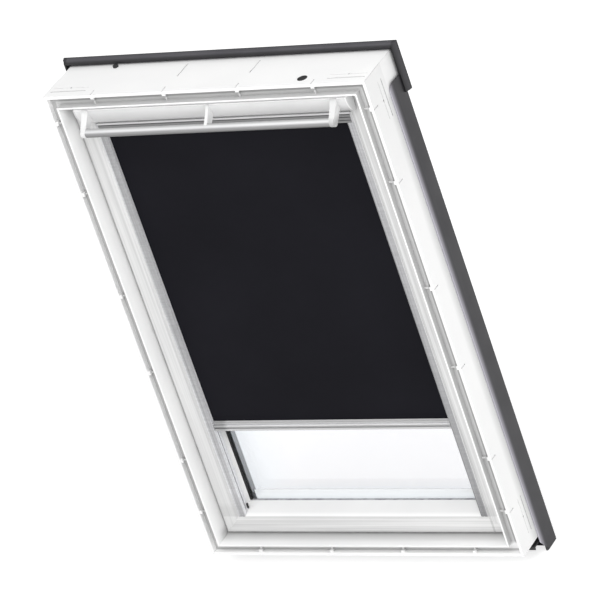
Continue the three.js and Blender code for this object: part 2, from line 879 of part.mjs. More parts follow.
function buildGlazing() {
  const lipHalfWidth = sashHalfWidth - lipInset;
  const lipHalfHeight = sashHalfHeight - lipInset;
  const gasketBandX = glassHalfWidth - lipHalfWidth + gasketProud;
  const gasketBandTop = glassHalfHeight - lipHalfHeight + gasketProud;
  const gasketBandSill = glassHalfHeight - lipHalfHeight + gasketSillProud;
  const innerGasket = slabAlongY(
    ringShape(glassHalfWidth, glassHalfHeight, gasketBandX, gasketBandTop, gasketBandSill),
    gasketThickness,
  );
  addMesh(sashGroup, 'glazing_gasket_inner', innerGasket, black).position.y = lipDepth + seatGap;

  const pane = slabAlongY(rectangleShape(glassHalfWidth, glassHalfHeight), paneThickness);
  addMesh(sashGroup, 'pane_inner', pane, glass).position.y = glassFront;
  addMesh(sashGroup, 'pane_outer', pane, glass).position.y = glassBack - paneThickness;

  const spacerHalfWidth = lipHalfWidth - gasketProud - spacerProud + spacerWidth;
  const spacerHalfHeight = lipHalfHeight - gasketProud - spacerProud + spacerWidth;
  const spacer = slabAlongY(
    ringShape(spacerHalfWidth, spacerHalfHeight, spacerWidth, spacerWidth, spacerWidth),
    spacerDepth - 2 * seatGap,
  );
  addMesh(sashGroup, 'glass_spacer', spacer, silver).position.y = glassFront + paneThickness + seatGap;

  const outerBand = profileOverlap - rebateInset - glassEdgeGap - gasketProud;
  const outerGasket = slabAlongY(
    ringShape(glassHalfWidth, glassHalfHeight, outerBand, outerBand, outerBand),
    outerGasketThickness,
  );
  addMesh(sashGroup, 'glazing_gasket_outer', outerGasket, black).position.y = glassBack + seatGap;
}

function buildGlazingProfiles() {
  const front = sashBack + seatGap;
  const points = [
    [profileInset, front],
    [profileOverlap, front],
    [profileOverlap, front + profileThickness - profileBevel],
    [profileOverlap - profileBevel, front + profileThickness],
    [profileInset, front + profileThickness],
  ];
  const places = memberPlaces(sashHalfWidth, sashHalfHeight);
  ['left', 'right', 'top'].forEach((side) => {
    const member = mitredMember(points, places[side].halfLength);
    addMember(sashGroup, `glazing_profile_${side}`, member, grey, places[side]);
  });
  const face = front + profileThickness;
  const lipFront = frameDepth + seatGap + sillCoverSheet + dripLipClearance;
  const lipBack = lipFront + dripLipThickness;
  const plateFront = face + seatGap;
  const plateBack = plateFront + dripLipThickness;
  const skirt = barAlongX(
    [
      [plateFront, lipPlateWidth],
      [plateFront, profileInset],
      [lipFront, -sashEndGap],
      [lipFront, -dripLipDrop],
      [lipBack, -dripLipDrop],
      [lipBack, -sashEndGap + dripLipThickness],
      [plateBack, profileInset + dripLipThickness],
      [plateBack, lipPlateWidth],
    ],
    2 * (sashHalfWidth - profileInset),
  );
  const land = barAlongX(
    [
      [face - seatGap, profileInset + dripLipThickness],
      [plateBack - seatGap, profileInset + dripLipThickness],
      [plateBack - seatGap, lipPlateWidth - dripLipThickness],
      [face - seatGap, lipPlateWidth - dripLipThickness],
    ],
    2 * (sashHalfWidth - profileOverlap),
  );
  skirt.rotateY(Math.PI / 2);
  land.rotateY(Math.PI / 2);
  const bottom = join(mitredMember(points, places.bottom.halfLength), [land, skirt]);
  addMember(sashGroup, 'glazing_profile_bottom', bottom, grey, places.bottom);
}

// Ventilation flap with its control bar

function flapPoint(angle, inset) {
  const reachY = flapRear - flapFront - inset;
  const reachZ = flapTop - flapBottom - inset;
  return [flapRear - reachY * Math.cos(angle), flapTop - reachZ * Math.sin(angle)];
}

// Height of the shell's inner face at a depth
function flapInnerAt(depth) {
  const share = (flapRear - depth) / (flapDepth - flapSheet);
  return flapTop - (flapHeight - flapSheet) * Math.sqrt(1 - share * share);
}

function flapArc(inset, start, end, steps) {
  const points = [];
  for (let i = 0; i <= steps; i += 1) {
    points.push(flapPoint(start + ((end - start) * i) / steps, inset));
  }
  return points;
}

// A curved shell with a flat web on top; the web is notched round the lock's keep
function buildFlap() {
  const quarter = Math.PI / 2;
  const outer = flapArc(0, 0, quarter, 2 * arcSteps);
  const inner = flapArc(flapSheet, quarter, 0, 2 * arcSteps);
  const halfLength = sashHalfWidth - flapSideGap;
  const shellHalfLength = halfLength - flapCapThickness - seatGap;
  const shell = barAlongX([...outer, ...inner], 2 * shellHalfLength);
  const webFront = flapFront + flapSheet / 2;
  const web = boxBetween(
    [-shellHalfLength, webFront, flapTop - flapWebThickness],
    [shellHalfLength, flapRear, flapTop],
  );
  const notchHalf = keepWidth / 2 + flapNotchMargin;
  const notch = boxBetween(
    [-notchHalf, keepDepth - flapNotchMargin, flapTop - flapWebThickness - seatGap],
    [notchHalf, flapRear + cutOverrun, flapTop + cutOverrun],
  );
  const rodsAtHinges = (radius, length) => [-hingeOffset, hingeOffset].map((middle) => rodAlongX(
    radius,
    middle - length / 2,
    length,
    hingeDepth,
    hingeHeight,
  ));
  const knuckles = rodsAtHinges(knuckleRadius, knuckleLength);
  const eyes = rodsAtHinges(hingeRadius + seatGap, knuckleLength + 2 * seatGap);
  const body = join(cut(join(shell, [web]), [notch]), knuckles);
  addMesh(flapGroup, 'vent_flap', cut(body, eyes), shadedWhite);

  const capPoints = [...outer, [flapRear, flapTop]];
  const cap = barAlongX(capPoints, flapCapThickness);
  [['left', -1], ['right', 1]].forEach(([side, sign]) => {
    const mesh = addMesh(flapGroup, `flap_cap_${side}`, cap, shadedWhite);
    mesh.position.x = sign * (halfLength - flapCapThickness / 2);
  });
}

// Each hinge: a rod on a leaf that is fixed to the top rail's face, notched round the knuckle
function buildFlapHinges() {
  const leafBack = sashSetback - seatGap;
  const leafFront = leafBack - hingeLeafThickness;
  const armTop = hingeHeight + hingeLeafThickness / 2;
  const armBottom = hingeHeight - hingeLeafThickness / 2;
  const leaf = barAlongX(
    [
      [leafBack, armBottom + hingeLeafWidth],
      [leafFront, armBottom + hingeLeafWidth],
      [leafFront, armTop],
      [hingeDepth, armTop],
      [hingeDepth, armBottom],
      [leafBack, armBottom],
    ],
    hingeLength,
  );
  const notchLength = knuckleLength + 2 * runGap;
  const notchRadius = knuckleRadius + runGap;
  const notch = rodAlongX(notchRadius, -notchLength / 2, notchLength, hingeDepth, hingeHeight);
  const rod = rodAlongX(hingeRadius, -hingeLength / 2, hingeLength, hingeDepth, hingeHeight);
  const hinge = join(cut(leaf, [notch]), [rod]);
  addMesh(sashGroup, 'flap_hinge_left', hinge, steel).position.x = -hingeOffset;
  addMesh(sashGroup, 'flap_hinge_right', hinge, steel).position.x = hingeOffset;
}

// A tube, closed at its ends by the end brackets
function buildControlBar() {
  const bar = rodAlongX(barRadius, -barHalfLength, 2 * barHalfLength, barDepth, barHeight);
  const boreLength = 2 * (barHalfLength + cutOverrun);
  const bore = rodAlongX(barRadius - barWall, -boreLength / 2, boreLength, barDepth, barHeight);
  addMesh(flapGroup, 'control_bar', cut(bar, [bore]), silver);
}

// A blade that reaches from the flap's crown to the back of the bar, wider at its crown
function bracketBlade(topThickness, footThickness, tools) {
  const crown = flapPoint(0, -seatGap);
  const belly = flapArc(-seatGap, 0, Math.PI / 4, arcSteps);
  const shape = outlineShape(belly);
  const foot = [barDepth + barRadius, barHeight - barRadius / 2];
  shape.lineTo(foot[0], foot[1]);
  shape.lineTo(barDepth, barHeight);
  shape.lineTo(barDepth - barRadius / 2, barHeight + barRadius);
  shape.quadraticCurveTo(barDepth + barRadius, barHeight + 2 * barRadius, crown[0], crown[1]);
  const geometry = extrude(shape, 1);
  const toY = new THREE.Vector3(0, 1, 0);
  const toZ = new THREE.Vector3(0, 0, 1);
  const toX = new THREE.Vector3(1, 0, 0);
  geometry.applyMatrix4(new THREE.Matrix4().makeBasis(toY, toZ, toX));
  const place = geometry.attributes.position;
  const low = barHeight - barRadius;
  for (let i = 0; i < place.count; i += 1) {
    const share = (place.getZ(i) - low) / (crown[1] - low);
    const thickness = footThickness + share * (topThickness - footThickness);
    place.setX(i, (place.getX(i) - 1 / 2) * thickness);
  }
  return cut(geometry, tools);
}

// The end brackets carry a round boss with a spigot in the bar; the middle one clips on the bar
function buildBrackets() {
  const seatReach = 2 * bracketTopThickness;
  const seat = rodAlongX(barRadius + seatGap, -seatReach / 2, seatReach, barDepth, barHeight);
  const middle = bracketBlade(bracketMiddleThickness, bracketMiddleThickness, [seat]);
  addMesh(flapGroup, 'bar_bracket_middle', middle, white).position.x = 0;

  [['left', -1], ['right', 1]].forEach(([side, sign]) => {
    const halfBoss = bossThickness / 2;
    const seatStart = sign > 0 ? -halfBoss - seatReach : halfBoss;
    const endSeat = rodAlongX(barRadius + seatGap, seatStart, seatReach, barDepth, barHeight);
    const spigotReach = halfBoss + spigotLength;
    const spigotStart = sign > 0 ? -spigotReach : 0;
    const spigotRadius = barRadius - barWall - seatGap;
    const spigot = rodAlongX(spigotRadius, spigotStart, spigotReach, barDepth, barHeight);
    const boss = rodAlongX(barRadius + bossProud, -halfBoss, bossThickness, barDepth, barHeight);
    const blade = bracketBlade(bracketTopThickness, bossThickness, [endSeat]);
    const mesh = addMesh(flapGroup, `bar_bracket_${side}`, join(blade, [boss, spigot]), white);
    mesh.position.x = sign * bracketOffset;
  });
}

// Lock: a hooked latch behind the flap and a keep on the frame head

function buildLock() {
  const top = sashHalfHeight + latchReach;
  const latch = barAlongX(
    [
      [latchFront, top],
      [latchFront + latchDepth, top - latchHook],
      [latchFront + latchDepth, top - latchLength],
      [latchFront, top - latchLength],
    ],
    latchWidth,
  );
  addMesh(sashGroup, 'lock_latch', latch, steel);

  const wall = latchCaseWall;
  const halfCase = latchWidth / 2 + runGap + wall;
  const caseBottom = top - latchLength + latchHook;
  const caseTop = sashHalfHeight - sashEndGap;
  const body = boxBetween(
    [-halfCase, latchFront - wall, caseBottom],
    [halfCase, sashSetback - beadHeight - seatGap, caseTop],
  );
  const passage = boxBetween(
    [-latchWidth / 2 - runGap, latchFront - runGap, caseBottom - cutOverrun],
    [latchWidth / 2 + runGap, latchFront + latchDepth + runGap, caseTop + cutOverrun],
  );
  addMesh(sashGroup, 'lock_case', cut(body, [passage]), steel);
}

function buildKeep() {
  const slope = (revealInset - rimInset - rimWidth / 2) / (sashSetback - rimRound);
  const underside = halfHeight - revealInset - seatGap;
  const rear = sashSetback;
  const front = keepDepth;
  const rise = (rear - front) * slope;
  const keep = barAlongX(
    [
      [rear, underside],
      [front, underside + rise],
      [front, underside - keepLipDrop],
      [front + keepThickness, underside - keepLipDrop],
      [front + keepThickness, underside - keepThickness + seatGap],
      [rear, underside - keepThickness + seatGap],
    ],
    keepWidth,
  );
  addMesh(frameGroup, 'lock_keep', keep, steel);
}

// Blind casing with its roller. Its ends follow the slope of the stiles.

function casingReachAt(depth) {
  return sashHalfWidth - revealInsetAt(depth) - seatGap;
}

function casingTopAt(depth) {
  const share = (depth - casingFront) / (casingBack - casingFront);
  return casingTop + share * (casingTopRear - casingTop);
}

function buildCasing() {
  const wall = casingWall;
  const height = casingTop - casingBottom;
  const front = [];
  casingGrooveShares.forEach((share) => {
    const upper = casingTop - share * height;
    front.push(
      [casingFront, upper],
      [casingFront + casingGrooveCut, upper],
      [casingFront + casingGrooveCut, upper - casingGrooveHeight],
      [casingFront, upper - casingGrooveHeight],
    );
  });
  const slotFront = clothDepth - clothSlotWidth / 2;
  const slotBack = clothDepth + clothSlotWidth / 2;
  const frontWall = casingFront + casingGrooveCut + wall;
  const points = [
    [casingFront, casingTop],
    ...front,
    [casingFront, casingBottom],
    [slotFront, casingBottom],
    [slotFront, casingBottom + wall],
    [frontWall, casingBottom + wall],
    [frontWall, casingTopAt(frontWall) - wall],
    [casingBack - wall, casingTopAt(casingBack - wall) - wall],
    [casingBack - wall, casingBottom + wall],
    [slotBack, casingBottom + wall],
    [slotBack, casingBottom],
    [casingBack, casingBottom],
    [casingBack, casingTopRear],
  ];
  const casing = barAlongX(points, 2);
  const place = casing.attributes.position;
  for (let i = 0; i < place.count; i += 1) {
    const reach = casingReachAt(place.getY(i)) - casingCapLength - seatGap;
    place.setX(i, Math.sign(place.getX(i)) * reach);
  }
  addMesh(blindGroup, 'blind_casing', casing, silver);
}

// The caps close the casing's ends and carry the roller's axles
function buildCasingCaps() {
  [['left', -1], ['right', 1]].forEach(([side, sign]) => {
    const plan = [
      [casingReachAt(casingFront) - casingCapLength, casingFront],
      [casingReachAt(casingFront), casingFront],
      [casingReachAt(casingBack), casingBack],
      [casingReachAt(casingBack) - casingCapLength, casingBack],
    ];
    const block = barAlongZ(sign > 0 ? plan : mirrored(plan), casingBottom, casingTop);
    const elevation = [
      [casingFront, casingBottom],
      [casingBack, casingBottom],
      [casingBack, casingTopRear],
      [casingFront, casingTop],
    ];
    const mask = barAlongX(elevation, frameWidth);
    const holeEnd = axleEnd + seatGap;
    const holeStart = sign > 0 ? tubeHalfLength : -holeEnd;
    const hole = rodAlongX(
      axleRadius + seatGap,
      holeStart,
      holeEnd - tubeHalfLength,
      rollerDepth,
      rollerHeight,
    );
    addMesh(blindGroup, `casing_cap_${side}`, cut(common(block, mask), [hole]), greyPlastic);
  });
}

function buildRoller() {
  const tube = rodAlongX(
    rollRadius,
    -tubeHalfLength,
    2 * tubeHalfLength,
    rollerDepth,
    rollerHeight,
  );
  const bore = rodAlongX(
    tubeBore,
    -tubeHalfLength - cutOverrun,
    2 * (tubeHalfLength + cutOverrun),
    rollerDepth,
    rollerHeight,
  );
  addMesh(rollerGroup, 'roller_tube', cut(tube, [bore]), silver);
  const axleLength = axleEnd - tubeHalfLength + seatGap;
  [['left', -1], ['right', 1]].forEach(([side, sign]) => {
    const bodyStart = sign > 0 ? tubeHalfLength - tubePlugLength : -tubeHalfLength;
    const axleStart = sign > 0 ? axleEnd - axleLength : -axleEnd;
    const body = rodAlongX(tubeBore - seatGap, bodyStart, tubePlugLength, rollerDepth, rollerHeight);
    const axle = rodAlongX(axleRadius, axleStart, axleLength, rollerDepth, rollerHeight);
    addMesh(rollerGroup, `roller_plug_${side}`, join(body, [axle]), greyPlastic);
  });
}

// Side channels that guide the cloth, seated on the slope of the stiles

function channelOutline() {
  const back = channelFront + channelDepth;
  const outerAt = (depth) => sashHalfWidth - revealInsetAt(depth) - seatGap;
  const slotFront = clothDepth - channelSlotWidth / 2;
  const slotBack = clothDepth + channelSlotWidth / 2;
  const lineInner = channelInner + channelLineOffset;
  return [
    [channelInner, channelFront + channelBevelDepth],
    [channelInner + channelBevelWidth, channelFront],
    [lineInner, channelFront],
    [lineInner, channelFront + channelLineCut],
    [lineInner + channelLineWidth, channelFront + channelLineCut],
    [lineInner + channelLineWidth, channelFront],
    [outerAt(channelFront), channelFront],
    [outerAt(back), back],
    [channelInner, back],
    [channelInner, slotBack],
    [channelInner + channelSlotReach, slotBack],
    [channelInner + channelSlotReach, slotFront],
    [channelInner, slotFront],
  ];
}

// The lower end follows the slope of the bottom rail
function channelBottomAt(depth) {
  return -sashHalfHeight + revealInsetAt(depth) + seatGap;
}

function buildChannels() {
  const top = casingBottom - seatGap;
  [['left', mirrored(channelOutline())], ['right', channelOutline()]].forEach(([side, points]) => {
    const geometry = barAlongZ(points, 0, 1);
    const place = geometry.attributes.position;
    for (let i = 0; i < place.count; i += 1) {
      place.setZ(i, place.getZ(i) > 0 ? top : channelBottomAt(place.getY(i)));
    }
    addMesh(blindGroup, `side_channel_${side}`, geometry, silver);
  });
}

// Stops in the lower ends of the channels' slots
function buildChannelStops() {
  const thickness = channelSlotWidth - 2 * seatGap;
  const width = channelSlotReach - seatGap;
  const bottom = channelBottomAt(clothDepth + channelSlotWidth / 2) + seatGap;
  [['left', -1], ['right', 1]].forEach(([side, sign]) => {
    const stop = new THREE.BoxGeometry(width, thickness, channelStopLength);
    const mesh = addMesh(blindGroup, `channel_stop_${side}`, stop, greyPlastic);
    mesh.position.set(sign * (channelInner + width / 2), clothDepth, bottom + channelStopLength / 2);
  });
}

// Cloth, bottom bar and its gliders

function buildCloth() {
  const bottom = blindBarTop + seatGap;
  const cloth = boxBetween(
    [-clothHalfWidth, clothDepth - clothThickness / 2, bottom],
    [clothHalfWidth, clothDepth + clothThickness / 2, rollerHeight],
  );
  addMesh(blindGroup, 'blind_cloth', cloth, navyCloth);
}

const blindBarShares = [
  [1, 0],
  [0.18, 0],
  [0.1, 0.05],
  [0.1, 0.17],
  [0.42, 0.2],
  [0.42, 0.36],
  [0.04, 0.41],
  [0, 0.44],
  [0, 0.56],
  [0.3, 0.6],
  [0.3, 0.7],
  [0.06, 0.74],
  [0.06, 0.95],
  [0.12, 1],
  [1, 1],
];

function buildBottomBar() {
  const deep = blindBarBack - blindBarFront;
  const points = blindBarShares.map(([back, down]) => [
    blindBarFront + back * deep,
    blindBarTop - down * blindBarHeight,
  ]);
  const halfLength = channelInner - blindBarEndGap;
  const bar = barAlongX(points, 2 * halfLength);
  const middle = blindBarTop - blindBarHeight / 2;
  const pocketHalf = gliderThickness / 2 + seatGap;
  const pockets = [-1, 1].map((sign) => boxBetween(
    [
      sign > 0 ? halfLength - gliderLength - seatGap : -halfLength - cutOverrun,
      clothDepth - pocketHalf,
      middle - gliderHeadLength / 2 - seatGap,
    ],
    [
      sign > 0 ? halfLength + cutOverrun : -halfLength + gliderLength + seatGap,
      clothDepth + pocketHalf,
      middle + gliderHeadLength / 2 + seatGap,
    ],
  ));
  addMesh(blindGroup, 'bottom_bar', cut(bar, pockets), silver);
  const length = gliderLength + blindBarEndGap + gliderReach;
  [['left', -1], ['right', 1]].forEach(([side, sign]) => {
    const glider = new THREE.BoxGeometry(length, gliderThickness, gliderHeadLength);
    const mesh = addMesh(blindGroup, `bar_glider_${side}`, glider, greyPlastic);
    mesh.position.set(sign * (channelInner + gliderReach - length / 2), clothDepth, middle);
  });
}

function buildChannelClip() {
  const clip = new THREE.BoxGeometry(endClipThickness, endClipRun, endClipLength);
  const mesh = addMesh(sashGroup, 'channel_clip', clip, black);
  const channelBack = channelFront + channelDepth;
  mesh.position.set(
    seatGap + endClipThickness / 2 - channelInner,
    channelBack - runGap - endClipRun / 2,
    channelBottomAt(channelBack) + endClipRise + endClipLength / 2,
  );
}

buildFrameMembers();
buildCablePlug();
buildPivots();
buildWeatherSeal();
buildSillApron();
buildSideCovers();
buildCoverPlugs();
buildHood();
buildSillCover();
buildKeep();
buildSashMembers();
buildGlazing();
buildGlazingProfiles();
buildFlap();
buildFlapHinges();
buildControlBar();
buildBrackets();
buildLock();
buildCasing();
buildCasingCaps();
buildRoller();
buildChannels();
buildChannelStops();
buildCloth();
buildBottomBar();
buildChannelClip();

// The origin is the middle of the sill's bottom face
const sillFaceMiddle = (flangeSetback + sillStepDepth) / 2;
roofWindow.position.set(0, -sillFaceMiddle, halfHeight);

export default roofWindow;
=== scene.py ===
"""Looks of the centre-pivot roof window with its blackout roller blind."""
import json
import math

import bpy
from mathutils import Matrix, Vector


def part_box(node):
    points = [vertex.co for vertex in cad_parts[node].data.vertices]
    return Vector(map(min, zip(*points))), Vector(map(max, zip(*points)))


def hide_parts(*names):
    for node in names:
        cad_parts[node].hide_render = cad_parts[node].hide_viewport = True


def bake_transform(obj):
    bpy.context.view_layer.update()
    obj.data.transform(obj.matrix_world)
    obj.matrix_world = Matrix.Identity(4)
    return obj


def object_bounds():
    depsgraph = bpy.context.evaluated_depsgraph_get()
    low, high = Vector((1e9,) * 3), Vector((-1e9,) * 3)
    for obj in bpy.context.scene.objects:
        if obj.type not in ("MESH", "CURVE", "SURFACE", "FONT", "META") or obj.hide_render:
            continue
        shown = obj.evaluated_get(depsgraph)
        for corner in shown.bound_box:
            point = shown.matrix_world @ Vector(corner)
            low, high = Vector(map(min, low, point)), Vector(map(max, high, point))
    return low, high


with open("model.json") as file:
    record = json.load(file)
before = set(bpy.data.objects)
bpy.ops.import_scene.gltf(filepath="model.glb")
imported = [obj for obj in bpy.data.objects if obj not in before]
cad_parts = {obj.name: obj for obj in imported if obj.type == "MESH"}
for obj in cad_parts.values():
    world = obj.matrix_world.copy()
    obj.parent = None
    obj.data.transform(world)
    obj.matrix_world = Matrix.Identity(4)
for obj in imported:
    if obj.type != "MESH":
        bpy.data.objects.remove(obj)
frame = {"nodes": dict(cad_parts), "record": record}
cad_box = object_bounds()

NODES = frame["nodes"]
WELD_DISTANCE = 1e-5
SPLIT_ANGLE = math.radians(32)

HALF_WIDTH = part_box("frame_jamb_right")[1].x
HALF_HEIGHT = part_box("frame_head")[1].z / 2

# Surfaces: base colour, darker patch colour, roughness, metallic, grain size, bump height
FINISHES = {
    "white_frame": ((0.90, 0.90, 0.897), (0.87, 0.87, 0.87), 0.36, 0.0, 6.0, 0.00004),
    "white_fitting": ((0.86, 0.86, 0.86), (0.82, 0.82, 0.822), 0.42, 0.0, 8.0, 0.00004),
    "black_rubber": ((0.012, 0.012, 0.013), (0.02, 0.02, 0.021), 0.75, 0.0, 90.0, 0.0001),
    "black_plastic": ((0.014, 0.014, 0.015), (0.022, 0.022, 0.024), 0.5, 0.0, 60.0, 0.00005),
    "grey_cover": ((0.068, 0.066, 0.074), (0.055, 0.053, 0.061), 0.5, 0.25, 14.0, 0.00005),
    "grey_seal": ((0.42, 0.42, 0.42), (0.34, 0.34, 0.34), 0.8, 0.0, 60.0, 0.00006),
    "grey_plastic": ((0.55, 0.55, 0.56), (0.50, 0.50, 0.51), 0.45, 0.0, 24.0, 0.00005),
    # The side cover's base is pale only to carry the painted highlight on its front edge
    "side_cover": ((0.70, 0.68, 0.76), (0.62, 0.60, 0.68), 0.5, 0.2, 14.0, 0.00005),
    "hood": ((0.078, 0.076, 0.085), (0.063, 0.061, 0.070), 0.5, 0.25, 14.0, 0.00005),
}
# Aluminium and steel with drawn lines: light and dark colour, roughness, metallic, bump height
LINED_FINISHES = {
    "steel": ((0.52, 0.53, 0.55), (0.42, 0.43, 0.45), 0.34, 0.9, 0.00003),
    "silver": ((0.56, 0.56, 0.575), (0.50, 0.50, 0.515), 0.38, 0.75, 0.00003),
    "bar_silver": ((0.86, 0.86, 0.865), (0.80, 0.80, 0.81), 0.34, 0.15, 0.00003),
    "channel_silver": ((0.60, 0.60, 0.615), (0.52, 0.52, 0.535), 0.40, 0.25, 0.00003),
    "casing_silver": ((0.78, 0.78, 0.785), (0.72, 0.72, 0.73), 0.36, 0.2, 0.00003),
    "rail_silver": ((0.88, 0.88, 0.885), (0.82, 0.82, 0.83), 0.36, 0.15, 0.00003),
}

# Noise stays mostly between these values, so colour ramps are spread over them
NOISE_SPREAD = (0.35, 0.65)
PATCH_DETAIL = 3.0
PATCH_GLOSS = (0.9, 1.12)
FINE_GRAIN = 60.0
NOISE_DETAIL = 2.0
LINE_SCALE = 260.0
LINE_STRETCH = (0.02, 1, 1)
LINE_GLOSS = (0.85, 1.15)
WHOLE = (0.0, 1.0)


def link_fade(tree, source, fade):
    """A value that changes evenly over a stretch and stays level outside it.

    A fade is four numbers: where the stretch starts and ends, and the value at both.
    """
    node = tree.nodes.new("ShaderNodeMapRange")
    node.clamp = True
    for name, value in zip(("From Min", "From Max", "To Min", "To Max"), fade):
        node.inputs[name].default_value = value
    tree.links.new(source, node.inputs["Value"])
    return node.outputs["Result"]


class Surface:
    """A material being built. x, y and z are the place on the window at rest, in metres."""

    def __init__(self, name):
        self.material = bpy.data.materials.new(name)
        self.material.use_nodes = True
        self.tree = self.material.node_tree
        self.shader = self.tree.nodes["Principled BSDF"]
        self.place = self.tree.nodes.new("ShaderNodeTexCoord").outputs["Object"]
        axes = self.tree.nodes.new("ShaderNodeSeparateXYZ")
        self.tree.links.new(self.place, axes.inputs["Vector"])
        self.x, self.y, self.z = [axes.outputs[axis] for axis in "XYZ"]

    def set(self, **values):
        """Sets sockets of the shader; an underscore stands for a space."""
        for name, value in values.items():
            self.shader.inputs[name.replace("_", " ")].default_value = value

    def calculate(self, operation, first, second=0.0):
        """A Math node; each operand is a number or a socket."""
        node = self.tree.nodes.new("ShaderNodeMath")
        node.operation = operation
        for socket, operand in zip(node.inputs, (first, second)):
            if isinstance(operand, (int, float)):
                socket.default_value = operand
            else:
                self.tree.links.new(operand, socket)
        return node.outputs["Value"]

    def plus(self, first, second):
        return self.calculate("ADD", first, second)

    def minus(self, first, second):
        return self.calculate("SUBTRACT", first, second)

    def highest(self, first, second):
        return self.calculate("MAXIMUM", first, second)

    def lowest(self, first, second):
        return self.calculate("MINIMUM", first, second)

    def size_of(self, value):
        return self.calculate("ABSOLUTE", value)

    def product(self, first, *others):
        for other in others:
            first = self.calculate("MULTIPLY", first, other)
        return first

    def weaken(self, where, depth):
        """One, less the depth where the first value is one."""
        return self.minus(1.0, self.product(where, depth))

    def fade(self, source, fade):
        return link_fade(self.tree, source, fade)

    def band(self, source, span, soft):
        """One inside the span, nought outside, with soft edges."""
        start, end = span
        rising = self.fade(source, (start - soft, start, 0.0, 1.0))
        falling = self.fade(source, (end, end + soft, 1.0, 0.0))
        return self.product(rising, falling)

    def noise(self, scale, detail, stretch=(1, 1, 1)):
        mapping = self.tree.nodes.new("ShaderNodeMapping")
        mapping.inputs["Scale"].default_value = stretch
        self.tree.links.new(self.place, mapping.inputs["Vector"])
        noise = self.tree.nodes.new("ShaderNodeTexNoise")
        noise.inputs["Scale"].default_value = scale
        noise.inputs["Detail"].default_value = detail
        self.tree.links.new(mapping.outputs["Vector"], noise.inputs["Vector"])
        return noise.outputs["Fac"]

    def colour(self, source, stops):
        """A colour ramp through stops, each a place from 0 to 1 and a colour or a grey."""
        ramp = self.tree.nodes.new("ShaderNodeValToRGB")
        elements = ramp.color_ramp.elements
        while len(elements) < len(stops):
            elements.new(0.5)
        for element, (place, tone) in zip(elements, stops):
            element.position = place
            element.color = (tone, tone, tone, 1) if isinstance(tone, float) else (*tone, 1)
        self.tree.links.new(source, ramp.inputs["Fac"])
        return ramp.outputs["Color"]

    def feed(self, socket, source, low, high, spread=NOISE_SPREAD):
        """A socket of the shader goes from low to high as the source crosses the spread."""
        ramp = self.colour(source, tuple(zip(spread, (low, high))))
        self.tree.links.new(ramp, self.shader.inputs[socket])

    def bump(self, source, height):
        bump = self.tree.nodes.new("ShaderNodeBump")
        bump.inputs["Strength"].default_value = 1.0
        bump.inputs["Distance"].default_value = height
        self.tree.links.new(source, bump.inputs["Height"])
        self.tree.links.new(bump.outputs["Normal"], self.shader.inputs["Normal"])

    def shade(self, share):
        """Multiplies the base colour by a share that varies over the surface."""
        base = self.shader.inputs["Base Color"]
        mix = self.tree.nodes.new("ShaderNodeMix")
        mix.data_type = "RGBA"
        mix.blend_type = "MULTIPLY"
        mix.inputs["Factor"].default_value = 1.0
        factors = [socket for socket in mix.inputs if socket.type == "RGBA"]
        self.tree.links.new(base.links[0].from_socket, factors[0])
        self.tree.links.new(share, factors[1])
        product = next(socket for socket in mix.outputs if socket.type == "RGBA")
        self.tree.links.new(product, base)


def coated(name, finish=None):
    """A coated, moulded or plated surface with faint patches and a fine grain."""
    light, dark, roughness, metallic, grain, height = FINISHES[finish or name]
    surface = Surface(name)
    surface.set(Metallic=metallic)
    patches = surface.noise(grain, PATCH_DETAIL)
    surface.feed("Base Color", patches, dark, light)
    surface.feed("Roughness", patches, *[roughness * share for share in PATCH_GLOSS])
    surface.bump(surface.noise(grain * FINE_GRAIN, NOISE_DETAIL), height)
    return surface


def lined(name):
    """Drawn metal with fine lines along X."""
    light, dark, roughness, metallic, height = LINED_FINISHES[name]
    surface = Surface(name)
    surface.set(Metallic=metallic)
    lines = surface.noise(LINE_SCALE, NOISE_DETAIL, LINE_STRETCH)
    surface.feed("Base Color", lines, dark, light)
    surface.feed("Roughness", lines, *[roughness * share for share in LINE_GLOSS])
    surface.bump(lines, height)
    return surface


# The frame's groove: spans are distances in from its outer edge, depths run along y
FLOOR_SPAN = (0.0077, 0.0262)
FLOOR_SOFT = 0.0004
FLOOR_DEPTH = (-0.0235, -0.0175, 0.0, 1.0)
WALL_SPAN = (0.0262, 0.0275)
WALL_SOFT = 0.0003
WALL_DEPTH = (-0.0308, -0.0302, 0.0, 1.0)
GROOVE_BACK = (-0.0138, -0.0128, 1.0, 0.0)
BY_FLANGE = (0.0178, 0.0196, 0.60, 0.30)
BY_WALL = (0.020, 0.027, 0.30, 0.44)
LEFT_JAMB_LIGHT = (-0.366, -0.358, 0.80, 1.0)
ABOVE_SILL = (0.024, 0.032, 0.0, 1.0)
SILL_LIGHT = (0.0120, 0.0150, 0.75, 0.10)


def groove_share(surface, inset):
    """Shade in the lining groove, lighter on the left jamb and on the sill."""
    floor = surface.product(
        surface.band(inset, FLOOR_SPAN, FLOOR_SOFT), surface.fade(surface.y, FLOOR_DEPTH)
    )
    wall = surface.product(
        surface.band(inset, WALL_SPAN, WALL_SOFT), surface.fade(surface.y, WALL_DEPTH)
    )
    groove = surface.product(
        surface.highest(floor, wall), surface.fade(surface.y, GROOVE_BACK)
    )
    depth = surface.highest(surface.fade(inset, BY_FLANGE), surface.fade(inset, BY_WALL))
    on_sill = surface.highest(
        surface.fade(surface.z, ABOVE_SILL), surface.fade(inset, SILL_LIGHT)
    )
    light = surface.lowest(surface.fade(surface.x, LEFT_JAMB_LIGHT), on_sill)
    return surface.weaken(groove, surface.product(depth, light))


REVEAL_START = (0.0300, 0.0325, 0.0, 1.0)
REVEAL_DEPTH = (-0.029, 0.007, 0.0, 1.0)
SILL_DARKNESS = (0.045, 0.065, 0.50, 0.14)
LEFT_DARKNESS = (-0.33, -0.23, 0.21, 0.14)


